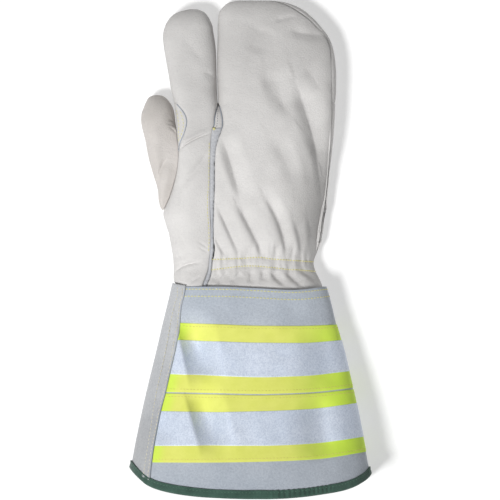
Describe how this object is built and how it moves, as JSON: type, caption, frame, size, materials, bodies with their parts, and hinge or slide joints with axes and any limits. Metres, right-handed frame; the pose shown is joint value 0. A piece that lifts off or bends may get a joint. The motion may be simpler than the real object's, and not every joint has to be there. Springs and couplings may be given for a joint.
{
  "type": "one-finger gauntlet mitt",
  "caption": "Leather work mitt with a thumb, an index finger and a broad pocket for the other fingers, gathered wrist, and flared gauntlet with reflective tapes and bound hem.",
  "frame": {"origin": "middle of the mitt's box in plan, on the surface that it lies on", "axes": "+Y from the gauntlet's mouth towards the fingertips, +X away from the thumb, +Z out of the back of the hand"},
  "size_m": [0.2187, 0.4501, 0.0936],
  "materials": {
    "grain_leather": "soft pearl grain leather, fine pebble",
    "seam_suede": "raw suede edge",
    "split_leather": "napped split leather",
    "yellow_tape": "woven fluorescent tape",
    "silver_tape": "retroreflective cloth, fine sparkle",
    "green_binding": "matte woven binding"
  },
  "bodies": {
    "root": {"mitt_back": "grain_leather", "index_back": "grain_leather", "thumb_crotch_patch": "grain_leather", "finger_crotch_patch": "grain_leather", "palm": "grain_leather", "pocket_front": "grain_leather", "index_front": "grain_leather", "thumb": "grain_leather", "seam_strip": "seam_suede", "gauntlet_back": "split_leather", "gauntlet_palm": "split_leather", "tape_upper": "yellow_tape", "tape_lower": "yellow_tape", "reflective_upper": "silver_tape", "reflective_lower": "silver_tape", "hem_binding": "green_binding"}
  },
  "joints": []
}
